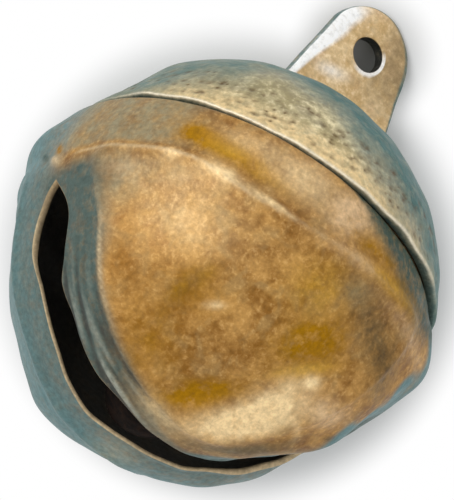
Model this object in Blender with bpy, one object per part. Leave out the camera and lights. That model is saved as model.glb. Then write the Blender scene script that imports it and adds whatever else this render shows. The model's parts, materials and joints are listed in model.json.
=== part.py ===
"""Round sleigh bell of sheet bronze, hanging from the hole in its tab.

Two cups lap at a seam above the middle of the body. The lower cup has the long sound slot and
two pressed cheeks. An iron pellet rests on the lips of the slot and rolls along them. The origin
is the centre of the tab's hole, +Z is up, X runs along the slot and across the tab.
"""

import math

import bmesh
import bpy
import numpy as np
from mathutils import Matrix

# Body, in metres. Heights are measured from the centre of the body.
BODY_RADIUS = 0.0220
WALL = 0.0008
CLEARANCE = 0.0003

# Seam where the crown laps over the neck of the lower cup
SEAM_HEIGHT = 0.0057
LAP_LENGTH = 0.0023
JOGGLE_DEPTH = 0.0011
LIP_WIDTH = 0.0010
LIP_PROUD = 0.00045
SEAM_BEAD_LEG = 0.0009

# Sound slot, and the strip beside it that curls inwards to the lips
SLOT_WIDTH = 0.0054
SLOT_END_DROP = 0.0053
SLOT_POINT_SHARPNESS = 2.2
LIP_CURL = 0.0006
LIP_STRIP = 0.0064

# Pressed cheeks on the two sides of the slot
CHEEK_DEPTH = 0.0008
CHEEK_TOP_DROP = 0.0008
CHEEK_SLOT_MARGIN = 0.0058
CHEEK_BLEND = 0.0040

# Tab with its hole, its tongue through the crown and its two clinched ears
HOLE_DIAMETER = 0.0036
HOLE_HEIGHT = 0.0310
TAB_OFFSET = 0.0016
TAB_TOP_RADIUS = 0.0051
TAB_TAPER = math.radians(11.3)
TAB_THICKNESS = 0.0015
TONGUE_WIDTH = 0.0080
EAR_LENGTH = 0.0030
EAR_THICKNESS = 0.0010
EAR_SPLIT = 0.0008
TAB_BEAD_LEG = 0.0009

# Loose pellet
PELLET_DIAMETER = 0.0090

# Facets
TURN_STEPS = 72
CROWN_RINGS = 12
JAW_RINGS = 15
JAW_INNER_RINGS = 11
TAB_ARC_STEPS = 20
SEAT_STEPS = 4
HOLE_STEPS = 32
BEAD_CORNER_STEPS = 4
PELLET_STEPS = 24

INNER_RADIUS = BODY_RADIUS - WALL
NECK_RADIUS = INNER_RADIUS - CLEARANCE
BODY_CENTRE = (-TAB_OFFSET, 0.0, -HOLE_HEIGHT)
SEAM_LATITUDE = math.asin(SEAM_HEIGHT / BODY_RADIUS)
SLOT_END_ANGLE = math.acos(SLOT_END_DROP / BODY_RADIUS)
SLOT_HALF_ANGLE = math.asin(SLOT_WIDTH / 2 / BODY_RADIUS)


def clear_scene():
    """Remove every object of the open scene."""
    for old in list(bpy.data.objects):
        bpy.data.objects.remove(old, do_unlink=True)


def metal(name, colour, roughness, metallic=1.0):
    """Return a Principled material of one linear colour."""
    made = bpy.data.materials.new(name)
    made.use_nodes = True
    shader = made.node_tree.nodes["Principled BSDF"]
    shader.inputs["Base Color"].default_value = (*colour, 1.0)
    shader.inputs["Roughness"].default_value = roughness
    shader.inputs["Metallic"].default_value = metallic
    return made


def anchor(name, place):
    """Return an empty that pieces hang from."""
    empty = bpy.data.objects.new(name, None)
    empty.location = place
    bpy.context.collection.objects.link(empty)
    return empty


def piece(name, shape, finish, parent):
    """Turn a bmesh into a named, smooth object with outward faces."""
    bmesh.ops.recalc_face_normals(shape, faces=shape.faces)
    mesh = bpy.data.meshes.new(name)
    shape.to_mesh(mesh)
    shape.free()
    mesh.materials.append(finish)
    mesh.shade_smooth()
    mesh.set_sharp_from_angle(angle=math.radians(35))
    made = bpy.data.objects.new(name, mesh)
    made.parent = parent
    bpy.context.collection.objects.link(made)
    return made


def combine(target, name, shape, operation):
    """Add an exact Boolean to the target with a hidden tool of the given shape."""
    made = piece(name, shape, target.data.materials[0], target.parent)
    made.hide_render = True
    made.display_type = "WIRE"
    step = target.modifiers.new(name, "BOOLEAN")
    step.solver = "EXACT"
    step.operation = operation
    step.object = made


def block(low, high):
    """Return a bmesh box between two corners."""
    shape = bmesh.new()
    bmesh.ops.create_cube(shape, size=1.0)
    for vert in shape.verts:
        vert.co = [lo if c < 0 else hi for c, lo, hi in zip(vert.co, low, high)]
    return shape


def closed_ring(loops):
    """Return a bmesh skin over loops[section point, station], closed along both."""
    points, stations, _ = loops.shape
    shape = bmesh.new()
    rows = [[shape.verts.new(co) for co in row] for row in loops]
    for i in range(points):
        here, after = rows[i], rows[(i + 1) % points]
        for j in range(stations):
            k = (j + 1) % stations
            shape.faces.new((here[j], here[k], after[k], after[j]))
    return shape


def turns():
    """Return the angles round the body, from -Y (front) towards +X."""
    return np.linspace(-math.pi, math.pi, TURN_STEPS, endpoint=False)


def direction(turn, latitude):
    """Return unit vectors at the given turn angles and latitudes."""
    flat = np.cos(latitude)
    parts = (np.sin(turn) * flat, -np.cos(turn) * flat, np.sin(latitude) * np.ones_like(turn))
    return np.stack(parts, axis=-1)


def above_seam(distance):
    """Return the latitude a distance up the wall from the seam."""
    return SEAM_LATITUDE + distance / BODY_RADIUS


def slot_lip(turn):
    """Return unit vectors to the slot's edge: both lips, meeting in a point at each end."""
    along = SLOT_END_ANGLE * np.sin(turn)
    opening = np.tanh(SLOT_POINT_SHARPNESS * np.cos(turn)) / math.tanh(SLOT_POINT_SHARPNESS)
    aside = SLOT_HALF_ANGLE * opening
    parts = (np.cos(aside) * np.sin(along), -np.sin(aside), -np.cos(aside) * np.cos(along))
    return np.stack(parts, axis=-1)


def swing(start, end, shares):
    """Return great-circle points between two rows of unit vectors, one row per share."""
    angle = np.arccos(np.clip(np.sum(start * end, axis=-1), -1.0, 1.0))[None, :, None]
    share = np.asarray(shares)[:, None, None]
    mixed = np.sin((1 - share) * angle) * start + np.sin(share * angle) * end
    return mixed / np.sin(angle)


def ease(value):
    """Return a smooth step from 0 to 1."""
    held = np.clip(value, 0.0, 1.0)
    return held * held * (3 - 2 * held)


def cheek_dip(way):
    """Return how far the wall is pressed in along each unit vector."""
    aside = ease((np.abs(way[..., 1]) * BODY_RADIUS - CHEEK_SLOT_MARGIN) / CHEEK_BLEND)
    below = ease((-way[..., 2] * BODY_RADIUS - CHEEK_TOP_DROP) / CHEEK_BLEND)
    return (CHEEK_DEPTH * aside * below)[..., None]


def lip_curl(way):
    """Return how far the strip beside the slot is bent in along each unit vector."""
    reach = (LIP_STRIP - np.abs(way[..., 1]) * BODY_RADIUS) / (LIP_STRIP - SLOT_WIDTH / 2)
    below = ease((-way[..., 2] * BODY_RADIUS - SLOT_END_DROP) / CHEEK_BLEND)
    return (LIP_CURL * np.clip(reach, 0.0, 1.0) ** 1.5 * below)[..., None]


def mouth_shell(finish, parent):
    """Lower cup: joggled neck, pressed cheeks and the slot between two curled lips."""
    turn = turns()
    shoulder = above_seam(-CLEARANCE)
    joggle = above_seam(-CLEARANCE - JOGGLE_DEPTH)
    top = above_seam(LAP_LENGTH)
    lips = slot_lip(turn)

    outside = swing(direction(turn, shoulder), lips, np.linspace(0, 1, JAW_RINGS))
    foot = above_seam(-CLEARANCE - JOGGLE_DEPTH - WALL)
    inside = swing(direction(turn, foot), lips, np.linspace(1, 0, JAW_INNER_RINGS))
    neck_inside = NECK_RADIUS - WALL
    neck = ((neck_inside, joggle), (neck_inside, top), (NECK_RADIUS, top), (NECK_RADIUS, shoulder))
    loops = np.concatenate(
        [
            outside * (BODY_RADIUS - cheek_dip(outside) - lip_curl(outside)),
            inside * (INNER_RADIUS - cheek_dip(inside) - lip_curl(inside)),
            np.stack([radius * direction(turn, latitude) for radius, latitude in neck]),
        ]
    )
    return piece("mouth_shell", closed_ring(loops), finish, parent)


def crown_shell(finish, parent):
    """Upper cup: a dome with a raised lip at the seam, slit at the top for the tab's tongue."""
    pole = math.pi / 2
    outer = [(BODY_RADIUS, lat) for lat in np.linspace(pole, above_seam(2 * LIP_WIDTH), CROWN_RINGS)]
    lip = [(BODY_RADIUS + LIP_PROUD, lat) for lat in (above_seam(LIP_WIDTH), SEAM_LATITUDE)]
    inner = [(INNER_RADIUS, lat) for lat in np.linspace(SEAM_LATITUDE, pole, CROWN_RINGS)]

    shape = bmesh.new()
    profile = [(rho * math.cos(lat), 0.0, rho * math.sin(lat)) for rho, lat in outer + lip + inner]
    verts = [shape.verts.new(point) for point in profile]
    edges = [shape.edges.new(pair) for pair in zip(verts, verts[1:])]
    bmesh.ops.spin(
        shape,
        geom=verts + edges,
        cent=(0, 0, 0),
        axis=(0, 0, 1),
        angle=2 * math.pi,
        steps=TURN_STEPS,
        use_merge=True,
    )
    bmesh.ops.remove_doubles(shape, verts=shape.verts, dist=CLEARANCE / 1000)
    crown = piece("crown_shell", shape, finish, parent)

    reach = (TONGUE_WIDTH / 2 + CLEARANCE, TAB_THICKNESS / 2 + CLEARANCE)
    low = (TAB_OFFSET - reach[0], -reach[1], BODY_RADIUS / 2)
    high = (TAB_OFFSET + reach[0], reach[1], 2 * BODY_RADIUS)
    combine(crown, "tongue_slit", block(low, high), "DIFFERENCE")
    return crown


def tab_half_width(height):
    """Return half the tab's width at a height measured from its hole, on the tapered sides."""
    return TAB_TOP_RADIUS / math.cos(TAB_TAPER) - height * math.tan(TAB_TAPER)


def tab_foot(side):
    """Return the corner, from the body's centre, where one tapered side (-1 or 1) meets the crown."""
    seat = BODY_RADIUS + CLEARANCE
    slope = math.tan(TAB_TAPER)
    across = TAB_OFFSET + side * (tab_half_width(0) + HOLE_HEIGHT * slope)
    half_b = -side * slope * across
    a = 1 + slope * slope
    height = (-half_b + math.sqrt(half_b * half_b - a * (across * across - seat * seat))) / a
    return across - side * slope * height, height


def seat_height(across):
    """Return the height of the tab's seat on the crown, from the body's centre."""
    return math.sqrt((BODY_RADIUS + CLEARANCE) ** 2 - across * across)


def tab_outline():
    """Return the tab's outline (x, z) and the height of its ears, both from the centre of its hole.

    The outline runs anticlockwise from the right end of the round top.
    """
    ear_top = math.sqrt(NECK_RADIUS**2 - (TAB_OFFSET + TONGUE_WIDTH / 2) ** 2 - EAR_LENGTH**2)
    tongue_end = ear_top - EAR_THICKNESS - CLEARANCE
    left, right = TAB_OFFSET - TONGUE_WIDTH / 2, TAB_OFFSET + TONGUE_WIDTH / 2
    left_foot, right_foot = tab_foot(-1)[0], tab_foot(1)[0]

    angles = np.linspace(TAB_TAPER, math.pi - TAB_TAPER, TAB_ARC_STEPS)
    crest = [(TAB_TOP_RADIUS * math.cos(angle), TAB_TOP_RADIUS * math.sin(angle)) for angle in angles]
    left_seat = [(x, seat_height(x)) for x in np.linspace(left_foot, left, SEAT_STEPS)]
    right_seat = [(x, seat_height(x)) for x in np.linspace(right, right_foot, SEAT_STEPS)]
    tongue = [(left, tongue_end), (right, tongue_end)]
    lower = [(x - TAB_OFFSET, z - HOLE_HEIGHT) for x, z in left_seat + tongue + right_seat]
    return crest + lower, ear_top - HOLE_HEIGHT


def hanging_tab(finish, parent):
    """Plate with the hanging hole, a tongue through the crown and two ears clinched over inside it."""
    outline, ear_top = tab_outline()
    shape = bmesh.new()
    face = shape.faces.new([shape.verts.new((x, -TAB_THICKNESS / 2, z)) for x, z in outline])
    pulled = bmesh.ops.extrude_face_region(shape, geom=[face])
    moved = [item for item in pulled["geom"] if isinstance(item, bmesh.types.BMVert)]
    bmesh.ops.translate(shape, verts=moved, vec=(0, TAB_THICKNESS, 0))
    tab = piece("hanging_tab", shape, finish, parent)

    for name, side in (("front_ear", -1), ("back_ear", 1)):
        across = sorted((side * (TONGUE_WIDTH / 2 - CLEARANCE), side * EAR_SPLIT / 2))
        reach = sorted((0.0, side * EAR_LENGTH))
        ear = block((across[0], reach[0], ear_top - EAR_THICKNESS), (across[1], reach[1], ear_top))
        combine(tab, name, ear, "UNION")

    drill = bmesh.new()
    bmesh.ops.create_cone(
        drill,
        cap_ends=True,
        segments=HOLE_STEPS,
        radius1=HOLE_DIAMETER / 2,
        radius2=HOLE_DIAMETER / 2,
        depth=3 * TAB_THICKNESS,
    )
    bmesh.ops.rotate(drill, verts=drill.verts, matrix=Matrix.Rotation(math.pi / 2, 3, "X"))
    combine(tab, "hole_drill", drill, "DIFFERENCE")
    return tab


def seam_solder(finish, parent):
    """Bead inside the bell, in the corner between the neck's rim and the crown."""
    turn = turns()
    base = above_seam(LAP_LENGTH + CLEARANCE)
    peak = above_seam(LAP_LENGTH + CLEARANCE + SEAM_BEAD_LEG)
    section = ((NECK_RADIUS, base), (NECK_RADIUS, peak), (NECK_RADIUS - WALL, base))
    loops = np.stack([radius * direction(turn, latitude) for radius, latitude in section])
    return piece("seam_solder", closed_ring(loops), finish, parent)


def bead_outline(offset):
    """Return the rounded outline (x, y) a distance outside the tab's foot, anticlockwise."""
    left, right = tab_foot(-1)[0], tab_foot(1)[0]
    side = TAB_THICKNESS / 2
    corners = ((right, side, 0), (left, side, 1), (left, -side, 2), (right, -side, 3))
    loop = []
    for x, y, quarter in corners:
        for angle in np.linspace(quarter, quarter + 1, BEAD_CORNER_STEPS) * math.pi / 2:
            loop.append((x + offset * math.cos(angle), y + offset * math.sin(angle)))
        if quarter % 2 == 0:
            step = (left - right) * (1 - quarter) / (BEAD_CORNER_STEPS + 1)
            shifts = step * np.arange(1, BEAD_CORNER_STEPS + 1)
            loop += [(x + shift, math.copysign(side + offset, y)) for shift in shifts]
    return np.array(loop)


def tab_solder(finish, parent):
    """Fillet round the foot of the tab, on the outside of the crown."""
    near, far = bead_outline(CLEARANCE), bead_outline(CLEARANCE + TAB_BEAD_LEG)
    seat = BODY_RADIUS + CLEARANCE
    lift = [np.sqrt(seat**2 - np.sum(loop**2, axis=1)) for loop in (near, far)]
    rows = ((near, lift[0]), (far, lift[1]), (near, lift[0] + TAB_BEAD_LEG))
    loops = np.stack([np.column_stack([loop, height]) for loop, height in rows])
    return piece("tab_solder", closed_ring(loops), finish, parent)


def pellet(finish, parent):
    """Iron pea lying a clearance above both lips of the slot, below its pivot at the body's centre."""
    lip = INNER_RADIUS - LIP_CURL
    half_slot = lip * math.sin(SLOT_HALF_ANGLE)
    radius = PELLET_DIAMETER / 2
    touch = radius + CLEARANCE
    drop = math.sqrt(lip**2 - half_slot**2) - math.sqrt(touch**2 - half_slot**2)
    shape = bmesh.new()
    bmesh.ops.create_uvsphere(
        shape,
        u_segments=PELLET_STEPS,
        v_segments=PELLET_STEPS // 2,
        radius=radius,
    )
    bmesh.ops.translate(shape, verts=shape.verts, vec=(0, 0, -drop))
    return piece("pellet", shape, finish, parent)


def main():
    """Build the bell."""
    clear_scene()
    bronze = metal("aged_bronze", (0.30, 0.20, 0.085), 0.45)
    dull_bronze = metal("dull_bronze", (0.27, 0.22, 0.12), 0.55)
    tab_bronze = metal("tab_bronze", (0.42, 0.32, 0.17), 0.45)
    iron = metal("rusty_iron", (0.09, 0.055, 0.04), 0.8, 0.6)
    solder = metal("grey_solder", (0.30, 0.30, 0.28), 0.5)

    body = anchor("body_centre", BODY_CENTRE)
    hole = anchor("tab_hole", (0, 0, 0))
    pivot = anchor("pellet_pivot", BODY_CENTRE)
    mouth_shell(bronze, body)
    crown_shell(dull_bronze, body)
    hanging_tab(tab_bronze, hole)
    seam_solder(solder, body)
    tab_solder(solder, body)
    pellet(iron, pivot)


main()
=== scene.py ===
"""Round sleigh bell of sheet bronze, lying on a white table and seen from below its mouth.

Two cups lap at a seam above the middle of the body. The lower cup is slit from side to side and has
two cheeks that were pressed in and are now rubbed bright, with painted highlights on their lit slopes.
A tab with a hole stands on the crown, and an iron pellet rolls on the lips of the slit. Sizes are in
millimetres unless a name says otherwise.
"""

import json
import logging
import math
from collections.abc import Mapping, Sequence
from dataclasses import dataclass, field
from enum import Enum, IntEnum

import bpy
import numpy as np
from bpy.types import Material, Node, NodeSocket, NodeTree, Object
from mathutils import Matrix, Vector
from numpy.typing import NDArray


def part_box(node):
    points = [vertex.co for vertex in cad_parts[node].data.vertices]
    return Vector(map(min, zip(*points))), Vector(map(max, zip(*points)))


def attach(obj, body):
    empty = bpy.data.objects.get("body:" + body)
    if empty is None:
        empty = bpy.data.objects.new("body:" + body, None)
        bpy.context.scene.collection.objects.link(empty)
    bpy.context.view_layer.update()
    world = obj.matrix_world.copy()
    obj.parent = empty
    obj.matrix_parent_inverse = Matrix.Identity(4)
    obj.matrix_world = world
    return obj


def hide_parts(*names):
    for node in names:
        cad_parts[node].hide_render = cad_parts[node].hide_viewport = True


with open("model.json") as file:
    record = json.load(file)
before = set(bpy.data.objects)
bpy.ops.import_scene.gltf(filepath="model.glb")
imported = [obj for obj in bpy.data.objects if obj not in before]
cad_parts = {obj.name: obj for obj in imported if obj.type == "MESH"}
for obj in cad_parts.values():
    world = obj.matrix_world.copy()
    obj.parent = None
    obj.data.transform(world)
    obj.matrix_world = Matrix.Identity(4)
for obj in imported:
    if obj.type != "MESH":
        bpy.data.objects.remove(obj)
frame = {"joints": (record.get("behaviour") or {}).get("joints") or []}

Array = NDArray[np.float64]
Table = Sequence[tuple[float, float]]
Traits = dict[str, Array]

MM = 0.001
MIX_FACTOR, MIX_UNDER, MIX_OVER, MIX_OUT = 0, 6, 7, 2  # a colour Mix node's sockets
LOG = logging.getLogger("sleigh_bell")


class Body(Enum):
    """The two bodies that pieces ride on."""

    BELL = "bell"
    PELLET = "pellet"


class Slot(Enum):
    """The record's finishes."""

    CROWN = "crown_bronze"
    MOUTH = "mouth_bronze"
    TAB = "tab_bronze"
    IRON = "iron"
    SOLDER = "solder"


class Zone(IntEnum):
    """Strips of the tab's section, from the hole's front edge round to its rear edge."""

    HOLE = 0
    FACE = 1
    EDGE = 2
    SIDE = 3
    REAR_EDGE = 4
    REAR = 5
    HOLE_BACK = 6


def linear(code: str) -> tuple[float, float, float, float]:
    """Turn an sRGB hex colour into linear light.

    Args:
        code: colour such as "#B98A48".

    Returns:
        Linear red, green, blue and an alpha of 1.
    """
    parts = [int(code[i : i + 2], 16) / 255 for i in (1, 3, 5)]
    light = [c / 12.92 if c <= 0.04045 else ((c + 0.055) / 1.055) ** 2.4 for c in parts]
    return (*light, 1.0)


def feed(tree: NodeTree, node: Node, inputs: Mapping) -> None:
    """Feed a node's sockets.

    Args:
        tree: node tree that the node is in.
        node: the node.
        inputs: socket name or number to a value, or to an output socket to link.
    """
    for name, value in inputs.items():
        if isinstance(value, NodeSocket):
            tree.links.new(value, node.inputs[name])
        else:
            node.inputs[name].default_value = value


def add(tree: NodeTree, kind: str, inputs: Mapping | None = None, **settings) -> Node:
    """Add a node, set it up and feed its sockets.

    Args:
        tree: node tree to add to.
        kind: the node's type name.
        inputs: what to feed its sockets with.
        settings: properties of the node itself.

    Returns:
        The new node.
    """
    node = tree.nodes.new(kind)
    for name, value in settings.items():
        setattr(node, name, value)
    feed(tree, node, inputs or {})
    return node


def start_material(name: str) -> tuple[Material, NodeSocket]:
    """Start a material.

    Args:
        name: its real-world name.

    Returns:
        The material, and the place on the piece that its patterns are laid out by.
    """
    made = bpy.data.materials.new(name)
    made.use_nodes = True
    return made, add(made.node_tree, "ShaderNodeTexCoord").outputs["Object"]


def seen_share(tree: NodeTree) -> NodeSocket:
    """Return 1 for light that the camera sees straight, in metal or through glass, and 0 for the rest."""
    path = add(tree, "ShaderNodeLightPath").outputs
    seen = path["Is Camera Ray"]
    for kind in ("Is Glossy Ray", "Is Transmission Ray"):
        seen = add(tree, "ShaderNodeMath", {0: seen, 1: path[kind]}, operation="MAXIMUM").outputs[0]
    return seen


def per_metre(size: float) -> float:
    """Return the texture scale whose features are this many millimetres across."""
    return 1.0 / (size * MM)


def ease(value: Array) -> Array:
    """Return a smooth step that rises from 0 to 1 as the value goes from 0 to 1."""
    held = np.clip(value, 0.0, 1.0)
    return held * held * (3 - 2 * held)


def through(table: Table, at: Array) -> Array:
    """Read a smooth curve through a table: cubics whose slopes are the harmonic means of their sides.

    The curve is level at its turning points and past its ends, so it never overshoots the table.

    Args:
        table: pairs of place and value, in rising order of place.
        at: places to read.

    Returns:
        The curve's value at each place.
    """
    place, value = np.array(table, float).T
    rise = np.diff(value) / np.diff(place)
    steady = rise[:-1] * rise[1:] > 0
    slope = np.zeros_like(value)
    slope[1:-1][steady] = 2 / (1 / rise[:-1][steady] + 1 / rise[1:][steady])
    spot = np.clip(at, place[0], place[-1])
    i = np.clip(np.searchsorted(place, spot) - 1, 0, len(place) - 2)
    gap = place[i + 1] - place[i]
    t = (spot - place[i]) / gap
    start = value[i] * (2 * t**3 - 3 * t**2 + 1) + slope[i] * gap * (t**3 - 2 * t**2 + t)
    return start + value[i + 1] * (3 * t**2 - 2 * t**3) + slope[i + 1] * gap * (t**3 - t**2)


def least(blend: float, *fields: Array) -> Array:
    """Return the smallest of several fields with its creases rounded: -b log(sum(exp(-f / b)))."""
    return -blend * np.logaddexp.reduce([-f / blend for f in fields])


def direction(turn: Array, latitude: Array | float) -> Array:
    """Return unit vectors: turn goes round from the front (-Y) towards +X, latitude up, in radians."""
    flat = np.cos(latitude)
    parts = (np.sin(turn) * flat, -np.cos(turn) * flat, np.sin(latitude) * np.ones_like(turn))
    return np.stack(parts, axis=-1)


def swing(start: Array, end: Array, shares: Array) -> Array:
    """Carry unit vectors along great circles from a start row to an end row.

    Args:
        start: unit vector of each station at share 0.
        end: unit vector of each station at share 1.
        shares: how far along each new row lies.

    Returns:
        Unit vectors by row and station.
    """
    angle = np.arccos(np.clip(np.sum(start * end, axis=-1), -1.0, 1.0))[None, :, None]
    share = np.asarray(shares)[:, None, None]
    return (np.sin((1 - share) * angle) * start + np.sin(share * angle) * end) / np.sin(angle)


def dense_ends(count: int) -> Array:
    """Return shares from 0 to 1 that lie twice as close at both ends: t - sin(2 pi t) / (4 pi)."""
    t = np.linspace(0, 1, count)
    return t - 0.5 * np.sin(2 * np.pi * t) / (2 * np.pi)


def round_edge(start: Array, end: Array, push: Array, rows: int) -> Array:
    """Carry points round an edge on half an oval: middle + half cos(t) + push sin(t).

    Args:
        start: points that the edge starts from.
        end: points that it comes back to.
        push: how far it stands out between them.
        rows: rows of new points.

    Returns:
        Points by row and station.
    """
    arc = np.linspace(0, np.pi, rows + 2)[1:-1, None, None]
    middle, half = (start + end) / 2, (start - end) / 2
    return middle + half * np.cos(arc) + push * np.sin(arc)


def skin(name: str, loops: Array, traits: Traits | None = None, poles: bool = False) -> Object:
    """Lay a closed skin of quads over a grid of points, facing outwards.

    Every cell between neighbouring rows and stations is one face. Stations wrap round. Rows wrap
    round too, or with poles the first and last row each shrink to one point.

    Args:
        name: name of the piece.
        loops: points in metres by row, station and coordinate.
        traits: masks by row and station that the finish reads.
        poles: whether the first and last row are points.

    Returns:
        The new object.
    """
    rows, stations = loops.shape[:2]
    number = np.arange(rows * stations).reshape(rows, stations)
    if poles:
        number[0], number[-1] = number[0, 0], number[-1, 0]
    after = np.roll(number, -1, axis=1)
    cells = np.stack([number, after, np.roll(after, -1, axis=0), np.roll(number, -1, axis=0)], axis=-1)
    cells = (cells[:-1] if poles else cells).reshape(-1, 4)
    points = loops.reshape(-1, 3)
    a, b, c, d = (points[cells[:, k]] for k in range(4))
    if np.sum(a * (np.cross(b, c) + np.cross(c, d))) < 0:
        cells = cells[:, ::-1]
    used, cells = np.unique(cells, return_inverse=True)
    cells = cells.reshape(-1, 4)
    faces = [list(dict.fromkeys(cell)) for cell in cells.tolist()] if poles else cells.tolist()
    mesh = bpy.data.meshes.new(name)
    mesh.from_pydata(points[used].tolist(), [], faces)
    mesh.shade_smooth()
    for trait, mask in (traits or {}).items():
        layer = mesh.attributes.new(trait, "FLOAT", "POINT")
        layer.data.foreach_set("value", np.clip(mask, 0, 1).ravel()[used].astype(np.float32))
    piece = bpy.data.objects.new(name, mesh)
    bpy.context.scene.collection.objects.link(piece)
    return piece


@dataclass(frozen=True)
class Bearing:
    """Where points of the round body lie, from their unit vectors.

    Attributes:
        way: unit vectors from the centre of the body.
    """

    way: Array

    @property
    def turn(self) -> Array:
        """Degrees round from the front towards +X."""
        return np.degrees(np.arctan2(self.way[..., 0], -self.way[..., 1]))

    @property
    def side_turn(self) -> Array:
        """Degrees from the middle of the nearer cheek, front or back."""
        return np.degrees(np.arctan2(self.way[..., 0], np.abs(self.way[..., 1])))

    @property
    def latitude(self) -> Array:
        """Degrees up from the equator."""
        return np.degrees(np.arcsin(np.clip(self.way[..., 2], -1, 1)))

    @property
    def roll(self) -> Array:
        """Degrees along the slit from its lowest point towards +X."""
        return np.degrees(np.arctan2(self.way[..., 0], -self.way[..., 2]))


@dataclass(frozen=True)
class Spot:
    """Round or drawn-out patch on the body: a dent, a bump or a stain.

    Attributes:
        turn: degrees round from the front towards +X.
        latitude: degrees up from the equator.
        wide: half length, where the patch has faded to a third.
        tall: half width.
        amount: height in millimetres, or strength of the stain.
        lean: degrees that the long way is tipped up from level.
    """

    turn: float
    latitude: float
    wide: float
    tall: float
    amount: float
    lean: float = 0.0

    def over(self, at: Bearing, radius: float) -> Array:
        """Spread the patch as amount times exp(-(a / wide)^2 - (b / tall)^2) in its own two ways.

        Args:
            at: points of the body.
            radius: radius of the body.

        Returns:
            The patch's value at each point.
        """
        away = (at.turn - self.turn + 180) % 360 - 180
        east = np.radians(away) * np.cos(np.radians(at.latitude)) * radius
        north = np.radians(at.latitude - self.latitude) * radius
        c, s = math.cos(math.radians(self.lean)), math.sin(math.radians(self.lean))
        a, b = c * east + s * north, c * north - s * east
        return self.amount * np.exp(-((a / self.wide) ** 2) - (b / self.tall) ** 2)


def spots(*rows: tuple[float, ...]) -> tuple[Spot, ...]:
    """Return patches from rows of their numbers, in the order of Spot's attributes."""
    return tuple(Spot(*row) for row in rows)


def heap(patches: Sequence[Spot], at: Bearing, radius: float) -> Array:
    """Return the sum of several patches."""
    return sum((patch.over(at, radius) for patch in patches), np.zeros(at.way.shape[:-1]))


@dataclass(frozen=True)
class Ripple:
    """Waviness left by hammering and knocks.

    Attributes:
        length: middling wavelength.
        height: typical height.
        seed: fixed seed of the wave directions.
        waves: how many plane waves are added up.
    """

    length: float
    height: float
    seed: int
    waves: int = 14

    def over(self, place: Array) -> Array:
        """Add up plane waves with seeded directions, lengths and phases.

        Args:
            place: points in millimetres.

        Returns:
            Height at each point.
        """
        rng = np.random.default_rng(self.seed)
        axes = rng.normal(size=(self.waves, 3))
        axes /= np.linalg.norm(axes, axis=1, keepdims=True)
        axes *= (2 * np.pi / (self.length * rng.uniform(0.7, 1.4, self.waves)))[:, None]
        phase = rng.uniform(0, 2 * np.pi, self.waves)
        return self.height * math.sqrt(2 / self.waves) * np.sin(place @ axes.T + phase).sum(axis=-1)


@dataclass(frozen=True)
class Pits:
    """Corrosion pits scattered over a belt of the body.

    Attributes:
        count: how many pits.
        low: lowest latitude in degrees.
        high: highest latitude in degrees.
        size: middling half width.
        seed: fixed seed of their places.
    """

    count: int
    low: float
    high: float
    size: float
    seed: int

    def over(self, way: Array, radius: float) -> Array:
        """Dig each pit as exp(-(distance / size)^2), keeping the deepest at each point.

        Args:
            way: unit vectors of the points.
            radius: radius of the body.

        Returns:
            Depth from 0 to 1 at each point.
        """
        rng = np.random.default_rng(self.seed)
        turn = rng.uniform(-np.pi, np.pi, self.count)
        rise = rng.uniform(math.sin(math.radians(self.low)), math.sin(math.radians(self.high)), self.count)
        size = self.size * rng.uniform(0.5, 1.5, self.count)
        depth = rng.uniform(0.4, 1.0, self.count)
        dug = np.zeros(way.shape[:-1])
        for middle, half, deep in zip(direction(turn, np.arcsin(rise)), size, depth):
            gap = np.linalg.norm(way - middle, axis=-1) * radius
            dug = np.maximum(dug, deep * np.exp(-((gap / half) ** 2)))
        return dug


@dataclass(frozen=True)
class Stain:
    """Colour that lies over a finish where a mask says.

    Attributes:
        trait: name of the mask on the mesh.
        colour: sRGB hex colour.
        grain: size of the clouds that break its edge.
        bite: how far the clouds eat into it, from 0 to 1.
    """

    trait: str
    colour: str
    grain: float = 1.2
    bite: float = 0.5


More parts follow.
